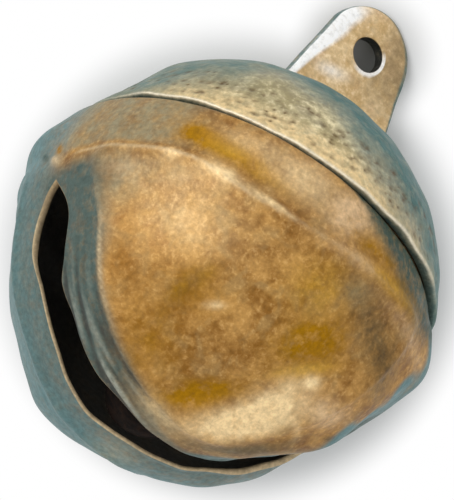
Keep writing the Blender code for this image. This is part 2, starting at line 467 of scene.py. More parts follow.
@dataclass(frozen=True)
class AgedBronze:
    """Sheet bronze dulled by handling and damp.

    Oxide hides most of the metal, so the eye sees a cloudy brown skin with fine dark and pale specks
    and a soft broad sheen, rubbed yellow on the high places and gone blue-green where nothing rubs.
    Some stains are painted light: highlights on lit slopes and edges, shade under the crown's rim and
    in the tab's hole, and along the outline a painted reflection of dark surroundings in the blue-green.

    Attributes:
        name: name of the material.
        deep: darker ground colour.
        light: paler ground colour.
        fleck: colour of the fine pale specks.
        stains: colours laid over the ground, in order.
        tint: ruddy or greyish colour that clouds the ground here and there.
        metallic: share of bare metal.
        roughness: middling roughness.
        gloss: strength of the clear reflection from the oxide itself.
        cloud: size of the broad clouds.
        mottle: size of the mottling.
        flush: size of the clouds of tint.
        grain: size of the fine grain, the least that shows at this picture's size.
        relief: height of the grain in the bump.
        speckle: strength of the pale specks.
        contrast: how much the grain darkens and lightens the colour.
    """

    name: str
    deep: str
    light: str
    fleck: str
    stains: tuple[Stain, ...]
    tint: str = "#A98B5A"
    metallic: float = 0.45
    roughness: float = 0.52
    gloss: float = 0.15
    cloud: float = 5.0
    mottle: float = 1.3
    flush: float = 2.3
    grain: float = 0.55
    relief: float = 0.05
    speckle: float = 0.25
    contrast: float = 0.2

    def material(self) -> Material:
        """Build the node tree.

        Returns:
            The finished material.
        """
        made, place = start_material(self.name)
        tree = made.node_tree
        noises = (
            (self.cloud, 3.0, 0.5, 0.0),
            (self.mottle, 4.0, 0.6, 0.0),
            (self.grain, 3.0, 0.65, 0.0),
            (self.flush, 2.0, 0.5, 0.6),
            *((stain.grain, 5.0, 0.65, 0.0) for stain in self.stains),
        )
        cloud, mottle, grain, flush, *frays = (
            add(
                tree,
                "ShaderNodeTexNoise",
                {"Vector": place, "Scale": per_metre(size), "Detail": detail, "Roughness": rough,
                 "Distortion": bent},
            ).outputs["Fac"]
            for size, detail, rough, bent in noises
        )
        both = add(tree, "ShaderNodeMath", {0: cloud, 1: mottle}, operation="ADD").outputs[0]
        ground = add(
            tree,
            "ShaderNodeMapRange",
            {"Value": both, "From Min": 0.75, "From Max": 1.25},
            interpolation_type="SMOOTHSTEP",
        ).outputs[0]
        ranges = (
            (flush, 0.5, 0.68, 0.0, 0.5),
            (grain, 0.54, 0.7, 0.0, self.speckle),
            (grain, 0.3, 0.7, 1 - self.contrast, 1 + self.contrast),
            (mottle, 0.3, 0.7, self.roughness - 0.08, self.roughness + 0.1),
            *((fray, 0.33, 0.67, 1 - stain.bite, 1 + stain.bite) for fray, stain in zip(frays, self.stains)),
        )
        ruddy, specks, tooth, dull, *ragged = (
            add(
                tree,
                "ShaderNodeMapRange",
                {"Value": value, "From Min": low, "From Max": high, "To Min": bottom, "To Max": top},
            ).outputs[0]
            for value, low, high, bottom, top in ranges
        )
        layers = [(ground, self.light), (ruddy, self.tint), (specks, self.fleck)]
        for edge, stain in zip(ragged, self.stains):
            mask = add(tree, "ShaderNodeAttribute", attribute_name=stain.trait).outputs["Fac"]
            held = add(tree, "ShaderNodeMath", {0: mask, 1: edge}, operation="MULTIPLY", use_clamp=True)
            layers.append((held.outputs[0], stain.colour))
        colour = linear(self.deep)
        for share, over in layers:
            colour = add(
                tree,
                "ShaderNodeMix",
                {MIX_FACTOR: share, MIX_UNDER: colour, MIX_OVER: linear(over)},
                data_type="RGBA",
            ).outputs[MIX_OUT]
        colour = add(
            tree,
            "ShaderNodeMix",
            {MIX_FACTOR: 1.0, MIX_UNDER: colour, MIX_OVER: tooth},
            data_type="RGBA",
            blend_type="MULTIPLY",
        ).outputs[MIX_OUT]
        height = add(tree, "ShaderNodeMath", {0: mottle, 1: 1.5, 2: grain}, operation="MULTIPLY_ADD")
        bump = add(
            tree,
            "ShaderNodeBump",
            {"Height": height.outputs[0], "Strength": 1.0, "Distance": self.relief * MM},
        ).outputs[0]
        surface = {
            "Base Color": colour,
            "Roughness": dull,
            "Normal": bump,
            "Metallic": self.metallic,
            "Specular IOR Level": self.gloss,
        }
        feed(tree, tree.nodes["Principled BSDF"], surface)
        return made


MOUTH_BRONZE = AgedBronze(
    name="Rubbed sheet bronze",
    deep="#8C5F26",
    light="#C29452",
    fleck="#DDBB80",
    stains=(
        Stain("olive", "#968C6E", 1.6, 0.4),
        Stain("brown", "#8A5E22", 1.8, 0.6),
        Stain("pink", "#DAB88C", 1.2, 0.5),
        # Blue-green: patina, and along the outline also a painted reflection of dark surroundings.
        Stain("verdigris_and_reflection", "#638688", 1.4, 0.15),
        Stain("rust", "#93826A", 0.9, 0.9),
        Stain("patina", "#54645E", 1.3, 0.25),
        Stain("streak", "#9DA194", 0.6, 0.4),
        Stain("soil", "#464A45", 0.6, 0.4),
        Stain("mustard", "#A27200", 1.5, 0.6),
        Stain("amber", "#C4952C", 1.3, 0.5),
        # Pale gold: rubbed metal, and painted highlights on the cheeks' lit slopes and top edge.
        Stain("gold", "#F7D9A4", 1.5, 0.35),
        Stain("dark_speckle", "#5A4A30", 0.7, 0.3),
        # Dark grey-green: painted shade under the crown's rim and beside a small bump.
        Stain("painted_shade", "#405248", 0.8, 0.3),
        # Pale: the slit's cut edge and a chip, and painted highlights along the strip's border and the
        # crest.
        Stain("edge", "#CDB690", 0.7, 0.3),
        Stain("inside", "#6A6862", 2.0, 0.1),
    ),
)

CROWN_BRONZE = AgedBronze(
    name="Dull sheet bronze",
    deep="#AA9C72",
    light="#E3D6AC",
    fleck="#F2E6C4",
    stains=(
        Stain("olive", "#8E8765", 1.6, 0.5),
        Stain("gold", "#EACF9B", 1.0, 0.6),
        Stain("patina", "#8A8F80", 0.7, 0.3),
        # Blue-green: patina, and along the outline also a painted reflection of dark surroundings.
        Stain("verdigris_and_reflection", "#4A716E", 1.6, 0.4),
        Stain("pit", "#5E4522", 0.6, 0.4),
        Stain("edge", "#F2E8D0", 0.7, 0.1),
        # Dark grey-green: painted shade on the rim's underside.
        Stain("painted_shade", "#56665F", 0.8, 0.2),
        Stain("inside", "#6A6862", 2.0, 0.1),
    ),
    tint="#A89C80",
    roughness=0.5,
    grain=0.65,
    relief=0.06,
    speckle=0.45,
)

TAB_BRONZE = AgedBronze(
    name="Worn plate bronze",
    deep="#CBA974",
    light="#E6CA9C",
    fleck="#F0E4CC",
    stains=(
        Stain("mustard", "#A08862", 1.5, 0.4),
        # Near white: painted highlights on the worn bevel and the hole's lit mouth, and a pale smear.
        Stain("edge", "#FFFFFD", 0.8, 0.1),
        # Blue-grey: patina on the rear, and along the outline also a painted reflection of dark
        # surroundings.
        Stain("patina", "#55706C", 0.9, 0.3),
        # Near black: painted shade on the hole's wall and on the ears inside the crown.
        Stain("inside", "#24241F", 0.8, 0.1),
    ),
    tint="#C09A70",
    roughness=0.42,
)


@dataclass(frozen=True)
class CloudedMetal:
    """Metal whose two colours lie in clouds, with a bump that follows them.

    Attributes:
        name: name of the material.
        dark: darker colour.
        pale: paler colour.
        cloud: size of the clouds.
        detail: how many finer sizes of cloud are added.
        fray: strength of those finer sizes.
        span: values of the cloud at which the colour is all dark and all pale.
        relief: height of the bump.
        metallic: share of bare metal.
        gloss: strength of the clear reflection.
        roughness: roughness.
    """

    name: str
    dark: str
    pale: str
    cloud: float
    detail: float
    fray: float
    span: tuple[float, float]
    relief: float
    metallic: float
    gloss: float
    roughness: float

    def material(self) -> Material:
        """Build the node tree.

        Returns:
            The finished material.
        """
        made, place = start_material(self.name)
        tree = made.node_tree
        clouds = add(
            tree,
            "ShaderNodeTexNoise",
            {"Vector": place, "Scale": per_metre(self.cloud), "Detail": self.detail, "Roughness": self.fray},
        ).outputs["Fac"]
        share = add(
            tree,
            "ShaderNodeMapRange",
            {"Value": clouds, "From Min": self.span[0], "From Max": self.span[1]},
        ).outputs[0]
        colour = add(
            tree,
            "ShaderNodeMix",
            {MIX_FACTOR: share, MIX_UNDER: linear(self.dark), MIX_OVER: linear(self.pale)},
            data_type="RGBA",
        ).outputs[MIX_OUT]
        bump = add(
            tree, "ShaderNodeBump", {"Height": clouds, "Strength": 1.0, "Distance": self.relief * MM}
        ).outputs[0]
        surface = {
            "Base Color": colour,
            "Roughness": self.roughness,
            "Normal": bump,
            "Metallic": self.metallic,
            "Specular IOR Level": self.gloss,
        }
        feed(tree, tree.nodes["Principled BSDF"], surface)
        return made


# A wrought iron pea under brown rust: matt, dark and crusted, with no shine left; darkened further to near
# black as painted shade, since it lies in the slit.
RUSTY_IRON_IN_PAINTED_SHADE = CloudedMetal(
    name="Rusty wrought iron in painted shade",
    dark="#100C0A",
    pale="#241811",
    cloud=0.9,
    detail=5.0,
    fray=0.65,
    span=(0.4, 0.66),
    relief=0.15,
    metallic=0.15,
    gloss=0.1,
    roughness=0.85,
)

# Soft solder that ran and froze: lead grey, smooth from the melt and clouded by oxide.
DULL_SOLDER = CloudedMetal(
    name="Dull soft solder",
    dark="#6E6E68",
    pale="#97958B",
    cloud=1.0,
    detail=4.0,
    fray=0.5,
    span=(0.0, 1.0),
    relief=0.08,
    metallic=0.6,
    gloss=0.5,
    roughness=0.5,
)


def dress(piece: Object, finish: Material, body: Body, slot: Slot, *nodes: str) -> None:
    """Give a piece its finish, its body and the CAD nodes that it stands for.

    Args:
        piece: the piece.
        finish: its material.
        body: body that it rides on.
        slot: the record's finish that it follows; not used.
        nodes: CAD nodes that it replaces.
    """
    piece.data.materials.clear()
    piece.data.materials.append(finish)
    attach(piece, body.value)
    if nodes:
        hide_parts(*nodes)
    LOG.info("%s: %d faces, rides on %s", piece.name, len(piece.data.polygons), body.value)


@dataclass
class Cup:
    """Half of the round body.

    Attributes:
        centre: centre of the body in metres.
        radius: outer radius.
        wall: thickness of the sheet.
        seam: latitude of the seam in degrees.
        lap: how far the two cups overlap.
        stations: stations round the body.
    """

    centre: Array
    radius: float
    wall: float = 0.8
    seam: float = 15.0
    lap: float = 2.3
    stations: int = 440

    def turns(self) -> Array:
        """Return the stations' angles round the body, in radians."""
        return np.linspace(-np.pi, np.pi, self.stations, endpoint=False)

    def place(self, way: Array, radius: Array) -> Array:
        """Return points in metres at distances in millimetres from the centre."""
        return self.centre + way * radius[..., None] * MM


@dataclass
class Mouth(Cup):
    """Lower cup with the slit, its curled lips and the two pressed cheeks.

    Tables are read against the roll along the slit or the turn from the middle of a cheek, in degrees.

    Attributes:
        slit_end: roll at which the slit's points lie.
        slit_point: how sharply the slit closes there.
        front_lip: half width of the slit on the front.
        back_lip: half width of the slit on the back.
        front_curl: how far the front lip is bent in.
        back_curl: how far the back lip is bent in.
        border: distance of the front cheek's edge from the slit's middle.
        back_border: the same on the back.
        crest: latitude of the cheek's top edge.
        cheek_right: turn of the cheek's right edge.
        dish: depth of the front cheek and of the back one.
        dish_slope: width of the slope from a cheek's edge down to its floor.
        ridge: height and half width of the rounded ridge on a cheek's outline.
        valley: depth of the valley over the front cheek, its distance above the crest and half width.
        step: depth of the neck under the seam.
        shoulder: depth of the slope that leads up to it.
        step_width: width of that slope round the body.
        seam_gap: how far below the seam the step to the neck starts, round the body.
        shade_reach: how far the painted shade under the crown's rim reaches down from the seam.
        shade_strength: how dark that painted shade is round the body.
        limb: turn at which blue-green takes over on the right, by latitude: patina, and at the outline also
            a painted reflection of dark surroundings.
        grey: strength of the grey patina on the strips by the slit.
        bare: how far from a cheek's lower edge that patina starts.
        soft: width over which it comes in.
        crest_highlight: how bright the cheek's top edge is painted, as a highlight, round the body.
        lip_rub: how bright the slit's cut edge is.
        lip_wear: how much thinner the sheet is at the lips.
        lip_bulge: how far the cut edge stands out, as a share of its thickness.
        dents: knocks and bulges.
        brown: places with thin brown grime.
        pink: places worn down to pinkish metal.
        mustard: places with brown-yellow deposits, mostly the hollows.
        amber: places where those deposits are thin and glow orange.
        gold: places rubbed bright, and painted highlights on the cheeks' lit slopes, the crest and a dent's
            lit wall.
        dark_speckle: places coloured a dark grey-brown with a fine speckle.
        olive: dull grey-green places.
        ripple: waviness of the wall.
        waver: how the blue-green's edge wanders, in degrees.
        scratch: scratches along the front strip.
        scratch_depth: their depth.
        rows: rows of points on the outside and the inside.
    """

    slit_end: float = 76.0
    slit_point: float = 5.0
    front_lip: Table = (
        (-76, 3.2), (-68, 3.2), (-60, 3.0), (-54, 2.6), (-46, 1.8), (-36, 2.0), (-20, 2.3), (-10, 2.8),
        (0, 3.0), (10, 3.1), (20, 3.2), (40, 3.2), (60, 2.9), (76, 2.8),
    )
    back_lip: Table = (
        (-76, 3.1), (-65, 3.2), (-57, 3.4), (-45, 2.2), (-36, 2.2), (-20, 3.0), (-10, 3.4),
        (-2, 2.7), (10, 1.9), (20, 1.6), (40, 1.5), (60, 1.6), (76, 1.6),
    )
    front_curl: Table = (
        (-76, 0.3), (-64, 0.5), (-48, 0.35), (-20, 0.4), (0, 0.5), (12, 0.6), (20, 0.7), (27, 1.1),
        (35, 1.7), (45, 1.9), (60, 1.8), (70, 1.5), (80, 0.8),
    )
    back_curl: Table = (
        (-76, 0.3), (-64, 0.5), (-48, 0.35), (-20, 0.4), (0, 0.5), (10, 0.6), (20, 0.7), (32, 1.1),
        (60, 1.1), (76, 0.8),
    )
    border: Table = (
        (-84, 5.0), (-70, 6.8), (-60, 7.7), (-40, 7.3), (-20, 7.3), (0, 7.1), (12, 6.9), (24, 8.2),
        (36, 9.5), (60, 9.6),
    )
    crest: Table = (
        (-90, -8.2), (-80, -6.2), (-62, -4.8), (-48, -3.9), (-42, -4.8), (-35, -6.2), (-25, -7.0),
        (-5, -5.3), (7, -3.2), (21, -1.0), (33, 2.0), (46, 3.6), (60, 3.8),
    )
    back_border: float = 6.8
    cheek_right: float = 40.0
    dish: tuple[float, float] = (1.2, 0.3)
    dish_slope: float = 5.0
    ridge: tuple[float, float] = (0.28, 0.6)
    valley: tuple[float, float, float] = (0.4, 2.4, 1.4)
    step: float = 1.1
    shoulder: float = 0.45
    step_width: Table = (
        (-180, 0.8), (-80, 0.8), (-40, 0.8), (-10, 1.0), (4, 1.8), (15, 3.0), (25, 3.8), (38, 3.8),
        (47, 2.6), (56, 1.2), (78, 0.8), (180, 0.8),
    )
    seam_gap: Table = ((-100, 0.05), (-60, 0.05), (-20, 0.2))
    shade_reach: Table = (
        (-180, 0.7), (-80, 0.6), (-40, 0.65), (-10, 0.8), (-1, 1.4), (5, 2.6), (11, 3.5), (17, 4.2),
        (24, 4.8), (31, 5.2), (40, 5.1), (50, 4.0), (60, 2.0), (75, 0.8), (180, 0.7),
    )
    shade_strength: Table = ((-180, 0.9), (-100, 0.4), (-55, 0.35), (-30, 0.7), (-10, 0.95))
    limb: Table = (
        (-40, 56), (-27, 51), (-20, 52), (-13, 53.5), (-5, 54.5), (0, 55), (5, 50.5), (10, 46.5), (15, 45),
    )
    grey: Table = ((-80, 1.0), (-24, 0.97), (-12, 0.7), (-4, 0.7), (60, 0.8))
    bare: Table = ((-80, -2.6), (-60, -2.2), (-46, -0.9), (-14, -0.9), (-6, 0.0), (4, 1.5), (14, 1.9))
    soft: Table = ((-80, 4.0), (-62, 3.4), (-46, 1.8), (60, 1.6))
    crest_highlight: Table = ((-88, 0.0), (-80, 0.7), (-40, 0.9), (-20, 0.5), (0, 0.2), (60, 0.1), (80, 0.0))
    lip_rub: Table = ((-76, 0.35), (-58, 0.45), (-40, 0.75))
    lip_wear: Table = ((-60, 0.0), (-50, 0.35), (30, 0.35), (42, 0.1))
    lip_bulge: float = 0.3
    dents: tuple[Spot, ...] = spots(
        (-113, 4, 5.3, 2.1, 1.1), (-126, -19, 4.0, 3.0, -0.65), (-168, -54, 5.5, 5.5, 1.45),
        (1, -61, 4.3, 1.2, -0.35, 56), (20, -34, 4.4, 1.1, -0.35, 61), (-17, -26, 2.0, 0.9, 0.1, 74),
        (64, 4, 4.6, 3.4, 1.3), (76, -19, 4.8, 3.6, -1.7), (-25, -38, 2.9, 2.3, -0.25, 11),
        (-36, -32, 3.6, 1.0, -0.12, -55), (-93, -8, 1.1, 0.5, 0.3, -29),
    )
    brown: tuple[Spot, ...] = spots(
        (-57, -37, 4.3, 2.1, 0.6, -67), (-70, -13, 2.4, 1.7, 0.5, -39), (-41, -57, 3.8, 3.2, 0.5, -62),
        (-31, -39, 3.1, 2.6, 0.75, 64),
    )
    pink: tuple[Spot, ...] = spots(
        (-2, 6, 2.4, 1.7, 1.4, 66), (40, -34, 3.6, 1.5, 0.8, 35), (43, -1, 7.5, 1.1, 0.5, 5),
        (-47, -10, 4.7, 1.6, 0.22, 14), (-67, -11, 2.8, 1.3, 0.3, 18), (8, -3, 4.2, 0.7, 0.6, 13),
        (-14, 6, 5.5, 2.0, 0.28, -4),
    )
    mustard: tuple[Spot, ...] = spots(
        (9, 3, 4.0, 0.9, 0.8, 11), (-24, 0, 2.4, 0.8, 0.7, -8), (-31, 1, 2.6, 1.1, 0.75, -9),
        (-38, 2, 2.6, 1.2, 0.7, -6), (-46, 3, 2.6, 1.1, 0.85, 6), (-51, 4, 2.0, 1.4, 0.6, 0),
        (15, -28, 4.0, 2.8, 1.3, 52), (1, -61, 4.1, 1.4, 1.5, 55), (-37, -56, 4.1, 3.4, 0.35, -48),
        (25, 2, 3.6, 1.0, 1.4, 11), (-94, -4, 1.2, 0.5, 1.0, -39), (-29, -36, 4.0, 2.8, 0.25, 20),
        (-34, -37, 2.8, 0.9, 0.5, 72), (-29, -32, 2.0, 0.7, 0.4, 66), (164, -27, 3.8, 2.0, 0.6, 25),
        (152, -36, 3.2, 2.2, 0.5, -15),
    )
    amber: tuple[Spot, ...] = spots(
        (21, -34, 3.3, 0.8, 1.0, 56), (21, 0, 4.2, 0.8, 0.8, 11), (-40, 2, 2.3, 0.8, 0.5, 2),
        (3, -16, 3.6, 2.8, 0.55, 33),
    )
    gold: tuple[Spot, ...] = spots(
        (28, -55, 5.3, 1.7, 1.5, 76), (24, -44, 3.2, 1.8, 0.75, 86), (27, -34, 0.9, 0.7, 0.9, 62),
        (42, -43, 1.5, 0.4, 0.5, -4), (-41, -19, 5.4, 3.6, 0.32, 3), (-38, -5, 1.9, 0.7, 0.95, -5),
        (-53, -5, 0.9, 0.6, 0.6, 8), (-23, -6, 2.4, 0.35, 0.8, -4), (-21, -38, 1.0, 0.4, 0.7, 33),
        (-20, 5, 3.6, 2.2, 0.5, 8), (-37, 7, 3.0, 1.3, 0.35, 0), (-173, -31, 3.6, 1.9, 0.4, -35),
        (-162, -37, 3.2, 1.6, 0.35, 12), (-176, -44, 2.8, 1.4, 0.3, 40), (155, -75, 3.4, 2.4, 0.14, 65),
        (-14, -73, 2.6, 1.3, 0.4, -17),
    )
    dark_speckle: tuple[Spot, ...] = spots(
        (22, -10, 5.2, 2.2, 0.45, -6), (38, -13.5, 5.2, 2.4, 0.6, -12), (-34, -37, 2.6, 0.8, 0.25, 72),
        (-30, -33, 1.8, 0.6, 0.2, 66), (46, -56, 5.2, 1.1, 0.6, 80), (-69, -13, 2.4, 1.7, 0.2, -39),
        (54, -34, 0.6, 0.35, 1.0, 32), (-130, -20, 4.0, 3.0, 0.4, 10),
    )
    olive: tuple[Spot, ...] = spots(
        (-69, -13, 3.4, 2.4, 1.0, -20), (12, -9, 2.2, 1.4, 0.6, 21), (8, 9, 5.0, 1.2, 0.4, 5),
        (-14, 5, 6.0, 2.2, 0.28, -4), (-172, -66, 6.0, 3.0, 0.5, 10), (-14, -73, 2.8, 1.5, 0.6, -17),
        (45, -59, 4.3, 0.8, 0.6, 83), (-55, -9, 4.4, 1.1, 0.4, 11),
    )
    ripple: Ripple = Ripple(5.5, 0.05, 7)
    waver: Ripple = Ripple(5.0, 1.8, 47)
    scratch: Ripple = Ripple(0.7, 1.0, 19, 10)
    scratch_depth: float = 0.07
    rows: tuple[int, int] = (118, 36)

    def lips(self, turn: Array) -> Array:
        """Draw the slit's edge: out along a great circle of X and Z, and aside by half its width.

        Args:
            turn: stations' angles in radians.

        Returns:
            Unit vectors to the edge, the front lip first half of the way round, then the back lip.
        """
        along = self.slit_end * np.sin(turn)
        closing = np.tanh(self.slit_point * np.cos(turn) * np.abs(np.cos(turn)))
        half = np.where(closing > 0, through(self.front_lip, along), through(self.back_lip, along))
        aside, along = half * closing / self.radius, np.radians(along)
        parts = (np.cos(aside) * np.sin(along), -np.sin(aside), -np.cos(aside) * np.cos(along))
        return np.stack(parts, axis=-1)

    def over_crest(self, at: Bearing) -> Array:
        """Return millimetres above a cheek's top edge."""
        return np.radians(at.latitude - through(self.crest, at.side_turn)) * self.radius

    def in_strip(self, at: Bearing) -> Array:
        """Return millimetres from a cheek's lower edge towards the slit."""
        front = through(self.border, at.roll)
        across = at.way[..., 1] * self.radius
        return np.where(across < 0, front, self.back_border) - np.abs(across)

    def in_cheek(self, at: Bearing) -> Array:
        """Return millimetres inside a cheek's outline: the least of the distances from its edges."""
        across = np.radians(self.cheek_right - at.side_turn) * self.radius
        right = across * np.cos(np.radians(at.latitude))
        return least(1.2, -self.over_crest(at), -self.in_strip(at), right)

    def under_seam(self, at: Bearing) -> Array:
        """Return millimetres below the seam."""
        return np.radians(self.seam - at.latitude) * self.radius

    def curl(self, at: Bearing) -> Array:
        """Return how far the strip by the slit is bent in: a power of the way across it."""
        front = at.way[..., 1] < 0
        amount = np.where(front, through(self.front_curl, at.roll), through(self.back_curl, at.roll))
        across = np.clip(self.in_strip(at) / 3.9, 0, 1.15) ** 1.5
        below = ease((-at.way[..., 2] * self.radius - 4.0) / 4.0)
        return amount * across * below

    def reach(self, at: Bearing) -> Array:
        """Work out the wall's outer radius.

        From the sphere the cheek goes in by an eased step inside its outline, with a rounded crest on
        the outline; a valley runs above the crest; the strip by the slit curls in; the shoulder drops
        to the neck under the seam; dents and waviness are added.

        Args:
            at: points of the body.

        Returns:
            Radius in millimetres.
        """
        inside = self.in_cheek(at)
        above = self.over_crest(at)
        dish = np.where(at.way[..., 1] < 0, *self.dish)
        out = self.radius - dish * ease(inside / self.dish_slope)
        ends = ease((60 - at.side_turn) / 30) * ease((at.side_turn + 92) / 14)
        high, wide = self.ridge
        out += high * np.exp(-((inside / wide) ** 2)) * ends
        deep, middle, wide = self.valley
        out -= deep * np.exp(-(((above - middle) / wide) ** 2) - ((at.side_turn + 20) / 24) ** 2)
        out -= self.curl(at)
        under = self.under_seam(at)
        width = through(self.step_width, at.turn)
        close = through(self.seam_gap, at.turn)
        out -= (self.step - self.shoulder) * (1 - ease((under - close) / (0.1 + 2 * close)))
        out -= self.shoulder * (1 - ease((under - 0.2) / width))
        out += self.scratch_depth * self.streaks(at)
        out += heap(self.dents, at, self.radius)
        return out + self.ripple.over(at.way * self.radius) * ease(under / 2.0)

    def streaks(self, at: Bearing) -> Array:
        """Return scratches along the front strip: waves drawn out lengthwise, faded at both ends."""
        strip = self.in_strip(at)
        drawn_out = np.stack([strip, 0.06 * np.radians(at.roll) * self.radius, 0 * strip], axis=-1)
        fade = ease((strip - 0.2) / 0.6) * np.exp(-(((at.roll + 25) / 25) ** 4)) * (at.way[..., 1] < 0)
        return self.scratch.over(drawn_out) * fade

    def thickness(self, at: Bearing) -> Array:
        """Return the wall's thickness, thinned towards the lips where the pellet rolls."""
        return self.wall - through(self.lip_wear, at.roll) * ease(self.in_strip(at) / 3.0)

    def outer_traits(self, at: Bearing) -> Traits:
        """Lay out the stains of the outside.

        Args:
            at: points of the outside.

        Returns:
            Masks from 0 to 1.
        """
        turn, roll = at.turn, at.roll
        strip, above, under = self.in_strip(at), self.over_crest(at), self.under_seam(at)
        # The back has kept its blue-green, except on the middle of its cheek.
        back = ease((at.way[..., 1] + 0.02) / 0.2)
        worn = np.exp(-((at.side_turn / 40) ** 2) - ((at.latitude + 32) / 20) ** 2)
        front = at.way[..., 1] < 0
        # The strip by the slit is grey all through, with a thin film just past the cheek's edge.
        full = ease((strip - through(self.bare, roll)) / through(self.soft, roll))
        on_strip = np.maximum(full, 0.4 * ease((strip + 0.9) / 1.8))
        past_limb = turn - through(self.limb, at.latitude) + self.waver.over(at.way * self.radius)
        along_crest = through(self.crest_highlight, turn)
        # Olive lies on the left above the crest, and a painted highlight runs along the strip's border.
        band = ease((above - 0.2) / 1.0) * ease((-42 - turn) / 20) * ease((turn + 104) / 12)
        border_line = front * np.exp(-((strip / 0.2) ** 2) - ((roll + 48) / 16) ** 2)
        streaks = self.streaks(at)
        chip = Spot(-93, -8, 1.1, 0.45, 0.95, -29).over(at, self.radius)
        shade = Spot(-100, -5, 1.3, 0.4, 0.9, -34).over(at, self.radius)
        traits = {
            name: heap(getattr(self, name), at, self.radius)
            for name in ("olive", "brown", "pink", "mustard", "amber", "gold", "dark_speckle")
        }
        traits["olive"] = np.maximum(traits["olive"], 0.75 * band)
        # Painted highlight along the cheek's top edge.
        traits["gold"] += 0.25 * along_crest * np.exp(-((above / 0.28) ** 2))
        return traits | {
            # Blue-green: patina on the back and both sides, which along the outline is also a painted
            # reflection of dark surroundings.
            "verdigris_and_reflection": np.maximum.reduce(
                [back * (1 - 0.8 * worn), ease((-86 - turn) / 14), ease(past_limb / 7)]
            ),
            "rust": back * (0.06 + 0.3 * ease((strip - 0.5) / 3.0)),
            "patina": through(self.grey, roll) * on_strip * ease((0.4 - above) / 3.2) * (1 - 0.6 * back),
            "streak": 0.35 * streaks,
            "soil": -0.9 * streaks,
            # Painted shade under the crown's rim, darkest on the right, and a painted shadow beside the
            # small bump on the left.
            "painted_shade": through(self.shade_strength, turn) * np.exp(-((under / through(self.shade_reach, turn)) ** 5)) + shade,
            # Pale: a painted highlight along the strip's border and the crest, and a chip.
            "edge": 0.8 * border_line + chip + 0.6 * along_crest * np.exp(-((above / 0.16) ** 2)),
            "inside": np.zeros_like(turn),
        }

    def build(self) -> Object:
        """Make the cup: rows run down the outside, round the lip, up the inside and over the neck.

        Returns:
            The cup.
        """
        turn = self.turns()
        top, lips = direction(turn, math.radians(self.seam)), self.lips(turn)
        down = swing(top, lips, dense_ends(self.rows[0]))
        up = swing(top, lips, dense_ends(self.rows[1])[::-1])
        outside, inside = Bearing(down), Bearing(up)
        outer = self.place(down, self.reach(outside))
        inner = self.place(up, self.reach(inside) - self.thickness(inside))

        forward = outer[-1] - outer[-3]
        forward /= np.linalg.norm(forward, axis=-1, keepdims=True)
        bulge = np.linalg.norm(outer[-1] - inner[0], axis=-1, keepdims=True) * self.lip_bulge
        cut = round_edge(outer[-1], inner[0], forward * bulge, 6)

        rise = np.radians(self.seam) + np.linspace(0, self.lap, 5) / self.radius
        neck = np.stack([direction(turn, latitude) for latitude in rise])
        neck_out = self.radius - self.step - np.zeros(neck.shape[:2])
        neck_up = self.place(neck[1:], neck_out[1:] - self.wall)
        neck_down = self.place(neck[:0:-1], neck_out[:0:-1])

        traits = self.outer_traits(outside)
        rubbed = through(self.lip_rub, Bearing(lips).roll)
        blocks = {
            "inside": (np.zeros(cut.shape[:2]), np.full(up.shape[:2], 0.97), 1.0, 0.6),
            "edge": (np.tile(rubbed, (len(cut), 1)), np.zeros(up.shape[:2]), 0.0, 0.0),
        }
        masks: Traits = {}
        for name, mask in traits.items():
            rim, lining, neck_in, neck_face = blocks.get(
                name, (np.tile(0.4 * mask[-1], (len(cut), 1)), np.zeros(up.shape[:2]), 0.0, 0.0)
            )
            tails = [np.full(part.shape[:2], value) for part, value in
                     ((neck_up, neck_in), (neck_down, neck_face))]
            masks[name] = np.concatenate([mask, rim, lining, *tails])
        loops = np.concatenate([outer, cut, inner, neck_up, neck_down])
        return skin("mouth_shell", loops, masks)


